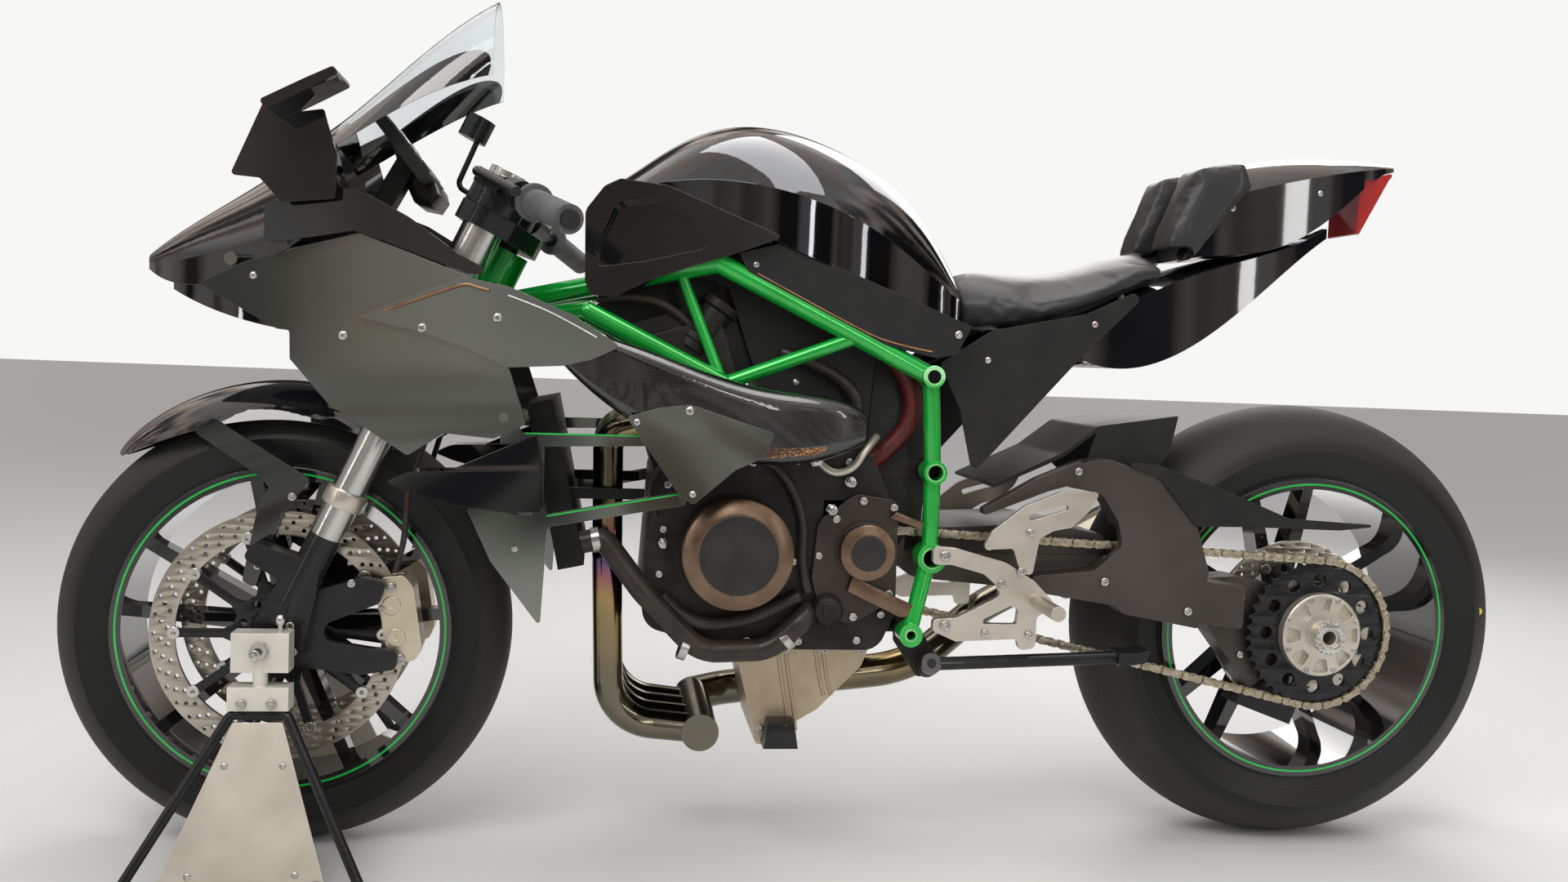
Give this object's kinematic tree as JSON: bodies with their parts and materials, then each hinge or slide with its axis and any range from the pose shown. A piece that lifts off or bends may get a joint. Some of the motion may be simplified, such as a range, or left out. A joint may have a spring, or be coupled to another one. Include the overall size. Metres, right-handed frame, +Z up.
{
  "type": "sport bike on front axle stands",
  "caption": "Faired sport bike with trellis frame, single-sided swingarm and a stand clamped to each end of its front axle.",
  "frame": {"origin": "centre of the bounding box at floor level", "axes": "+X to the rear of the bike, +Y to the rider's right, +Z up"},
  "size_m": [2.0748, 0.7794, 1.16],
  "materials": {
    "black_paint": "semi-gloss black paint",
    "beige_metal": "beige anodised plate",
    "ivory_metal": "satin ivory",
    "steel": "turned steel",
    "black_metal": "satin black",
    "silver_metal": "satin silver",
    "grip_rubber": "ribbed rubber",
    "smoke_plastic": "smoked cup",
    "gloss_black": "mirror black paint",
    "champagne_metal": "champagne anodised",
    "hose_rubber": "dark rubber hose",
    "tyre": "smooth racing tyre",
    "disc_steel": "drilled stainless band",
    "green_paint": "gloss green paint",
    "engine_dark": "dark satin castings",
    "bronze_black": "satin dark brown",
    "gold_metal": "champagne gold casting",
    "titanium": "heat tinted titanium",
    "radiator_black": "black finned core",
    "screen": "clear windscreen",
    "matte_black": "matt black moulding",
    "mirror_grey": "dark mirror paint",
    "tank_chrome": "black chrome",
    "seat_vinyl": "satin vinyl",
    "red_lens": "red lens",
    "arm_metal": "matt bronze grey",
    "chain_steel": "plated chain",
    "cream_metal": "brushed cream aluminium"
  },
  "bodies": {
    "front_end": {"stand_frames": "black_paint", "stand_plates": "beige_metal", "stand_clamps": "ivory_metal", "front_axle": "steel", "fork_inner_tubes": "black_metal", "fork_outer_tubes": "silver_metal", "triple_clamps": "black_metal", "handlebars": "black_metal", "grips": "grip_rubber", "controls": "silver_metal", "front_fender": "gloss_black", "front_calipers": "champagne_metal", "brake_hoses": "hose_rubber"},
    "front_wheel": {"front_tyre": "tyre", "front_rim": "black_metal", "front_discs": "disc_steel"},
    "chassis": {"frame": "green_paint", "engine_block": "engine_dark", "engine_covers": "bronze_black", "oil_pan": "gold_metal", "intake_chamber": "matte_black", "exhaust_headers": "titanium", "silencer": "titanium", "radiator": "radiator_black", "coolant_hose": "hose_rubber", "nose_cowl": "gloss_black", "windscreen": "screen", "instrument_panel": "matte_black", "winglets": "gloss_black", "side_fairings": "mirror_grey", "air_duct": "gloss_black", "lower_panels": "mirror_grey", "fuel_tank": "tank_chrome", "intake_scoops": "tank_chrome", "side_covers": "matte_black", "seat": "seat_vinyl", "hip_pads": "seat_vinyl", "tail_cowl": "gloss_black", "tail_light": "red_lens", "subframe": "matte_black", "swingarm": "arm_metal", "rear_guards": "matte_black", "chain": "chain_steel", "rear_caliper": "black_metal", "footrests": "cream_metal"},
    "rear_wheel": {"rear_tyre": "tyre", "rear_rim": "black_metal", "rear_disc": "disc_steel", "rear_sprocket": "black_metal", "rear_spindle": "cream_metal"},
    "side_stand": {"side_stand": "black_paint"}
  },
  "joints": [
    {"name": "front_wheel_spin", "type": "hinge", "parent": "front_end", "child": "front_wheel", "pos_m": [-0.7375, 0, 0.3], "axis": [0, 1, 0], "continuous": true},
    {"name": "steering", "type": "hinge", "parent": "front_end", "child": "chassis", "pos_m": [-0.8455, 0, 0], "axis": [0.4242, 0, 0.9056], "range_deg": [-27, 27]},
    {"name": "rear_wheel_spin", "type": "hinge", "parent": "chassis", "child": "rear_wheel", "pos_m": [0.7125, 0, 0.325], "axis": [0, 1, 0], "continuous": true},
    {"name": "side_stand_swing", "type": "hinge", "parent": "chassis", "child": "side_stand", "pos_m": [0.132, -0.15, 0.284], "axis": [0.016, 0.937, -0.349], "range_deg": [0, 100]}
  ]
}
